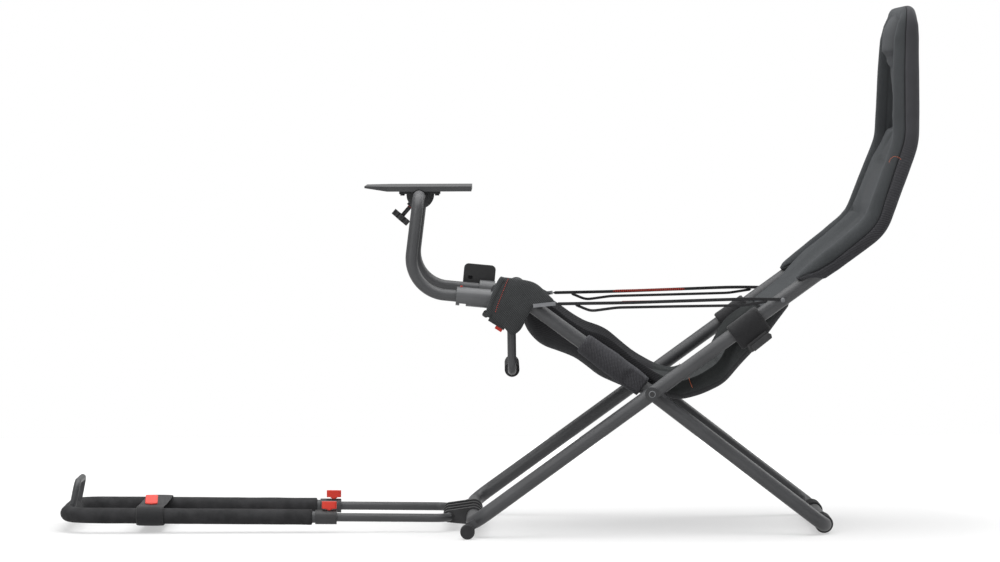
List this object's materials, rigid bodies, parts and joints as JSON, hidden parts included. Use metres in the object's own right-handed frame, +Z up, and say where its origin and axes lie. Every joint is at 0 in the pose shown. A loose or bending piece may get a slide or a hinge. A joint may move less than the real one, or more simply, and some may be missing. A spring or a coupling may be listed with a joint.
{
  "type": "racing simulator seat",
  "caption": "Folding racing simulator seat: X frame with fabric seat and back, wheel plate on a sliding arm, telescoping pedal frame.",
  "frame": {"origin": "centre of the bounding box, on the floor", "axes": "+X towards the backrest, +Y to the driver's right, +Z up"},
  "size_m": [1.6213, 0.5686, 0.9898],
  "materials": {
    "frame_paint": "satin",
    "knit_fabric": "matte",
    "smooth_fabric": "matte",
    "webbing": "matte",
    "foam_rubber": "matte",
    "black_plastic": "satin",
    "red_plastic": "satin",
    "bolt_steel": "satin"
  },
  "bodies": {
    "frame": {"main_tube_left": "frame_paint", "main_tube_right": "frame_paint", "front_crossbar": "frame_paint", "back_hoop_left": "frame_paint", "back_hoop_right": "frame_paint", "head_crossbar": "frame_paint", "front_foot_lugs": "frame_paint", "front_feet": "foam_rubber", "pivot_bolts": "bolt_steel", "back_panel": "knit_fabric", "head_pad": "knit_fabric", "bolster_left": "knit_fabric", "bolster_right": "knit_fabric", "back_band_left": "webbing", "back_band_right": "webbing", "seat_rear_pad": "knit_fabric", "side_straps": "webbing"},
    "leg_frame": {"leg_tube_left": "frame_paint", "leg_tube_right": "frame_paint", "rear_crossbar": "frame_paint", "rear_grips": "foam_rubber", "seat_front_bar": "frame_paint", "leg_sleeve_left": "knit_fabric", "leg_sleeve_right": "knit_fabric", "corner_flap_left": "smooth_fabric", "corner_flap_right": "smooth_fabric", "seat_front_pad": "knit_fabric", "seat_front_roll": "smooth_fabric", "strap_hooks": "black_plastic"},
    "carrier": {"carrier_cheek_left": "frame_paint", "carrier_cheek_right": "frame_paint", "sleeve_left": "frame_paint", "sleeve_right": "frame_paint", "stop_bar": "frame_paint", "stop_roller": "foam_rubber", "latch_block": "black_plastic", "shifter_plate": "frame_paint"},
    "wheel_arm": {"arm_tube_left": "frame_paint", "arm_tube_right": "frame_paint", "arm_crossbar": "frame_paint"},
    "wheel_mount": {"wheel_plate": "frame_paint", "plate_saddle": "frame_paint", "saddle_bolts": "bolt_steel"},
    "knob": {"clamp_knob": "black_plastic"},
    "pedal_base": {"inner_tube_left": "frame_paint", "inner_tube_right": "frame_paint", "inner_cross": "frame_paint", "hinge_links": "black_plastic"},
    "pedal_frame": {"outer_rails": "frame_paint", "rail_foam_left": "foam_rubber", "rail_foam_right": "foam_rubber", "end_foam": "foam_rubber", "rail_collars": "black_plastic", "pedal_stop": "frame_paint", "heel_strap": "webbing"},
    "lock_left": {"lock_knob_left": "red_plastic"},
    "lock_right": {"lock_knob_right": "red_plastic"},
    "release": {"release_button": "red_plastic"},
    "plunger": {"release_plunger": "black_plastic"},
    "button": {"sleeve_button": "red_plastic"}
  },
  "joints": [
    {"name": "leg_fold", "type": "hinge", "parent": "frame", "child": "leg_frame", "pos_m": [0.3, 0, 0.2669], "axis": [0, 1, 0], "range_deg": [0, 75], "deforming": ["seat_front_pad", "seat_rear_pad", "side_straps"]},
    {"name": "arm_lift", "type": "hinge", "parent": "leg_frame", "child": "carrier", "pos_m": [0.05048, 0, 0.45086], "axis": [0, -1, 0], "range_deg": [-70, 0]},
    {"name": "arm_slide", "type": "slide", "parent": "carrier", "child": "wheel_arm", "axis": [-0.9954, 0, 0.0958], "range_m": [-0.012, 0.03]},
    {"name": "plate_tilt", "type": "hinge", "parent": "wheel_arm", "child": "wheel_mount", "pos_m": [-0.13238, 0, 0.63276], "axis": [0, 1, 0], "range_deg": [-20, 20]},
    {"name": "clamp_knob_turn", "type": "hinge", "parent": "wheel_mount", "child": "knob", "pos_m": [-0.16978, 0, 0.58974], "axis": [-0.6561, 0, -0.7547], "continuous": true},
    {"name": "pedal_fold", "type": "hinge", "parent": "frame", "child": "pedal_base", "pos_m": [-0.03294, 0, 0.02677], "axis": [0, 1, 0], "range_deg": [0, 65]},
    {"name": "pedal_slide", "type": "slide", "parent": "pedal_base", "child": "pedal_frame", "axis": [-0.9999, 0, 0.0105], "range_m": [-0.14, 0.19]},
    {"name": "lock_left_lift", "type": "slide", "parent": "pedal_frame", "child": "lock_left", "axis": [0.0105, 0, 0.9999], "range_m": [0, 0.005], "stiffness_N_per_m": 800, "springref_m": -0.002},
    {"name": "lock_right_lift", "type": "slide", "parent": "pedal_frame", "child": "lock_right", "axis": [0.0105, 0, 0.9999], "range_m": [0, 0.005], "stiffness_N_per_m": 800, "springref_m": -0.002},
    {"name": "release_press", "type": "slide", "parent": "carrier", "child": "release", "axis": [0.5299, 0, 0.848], "range_m": [0, 0.003], "stiffness_N_per_m": 1000, "springref_m": -0.001},
    {"name": "plunger_pull", "type": "slide", "parent": "carrier", "child": "plunger", "axis": [-0.848, 0, 0.5299], "range_m": [0, 0.006], "stiffness_N_per_m": 800, "springref_m": -0.002},
    {"name": "button_press", "type": "slide", "parent": "carrier", "child": "button", "axis": [-0.0958, 0, -0.9954], "range_m": [0, 0.0002], "stiffness_N_per_m": 1000, "springref_m": -0.001}
  ]
}
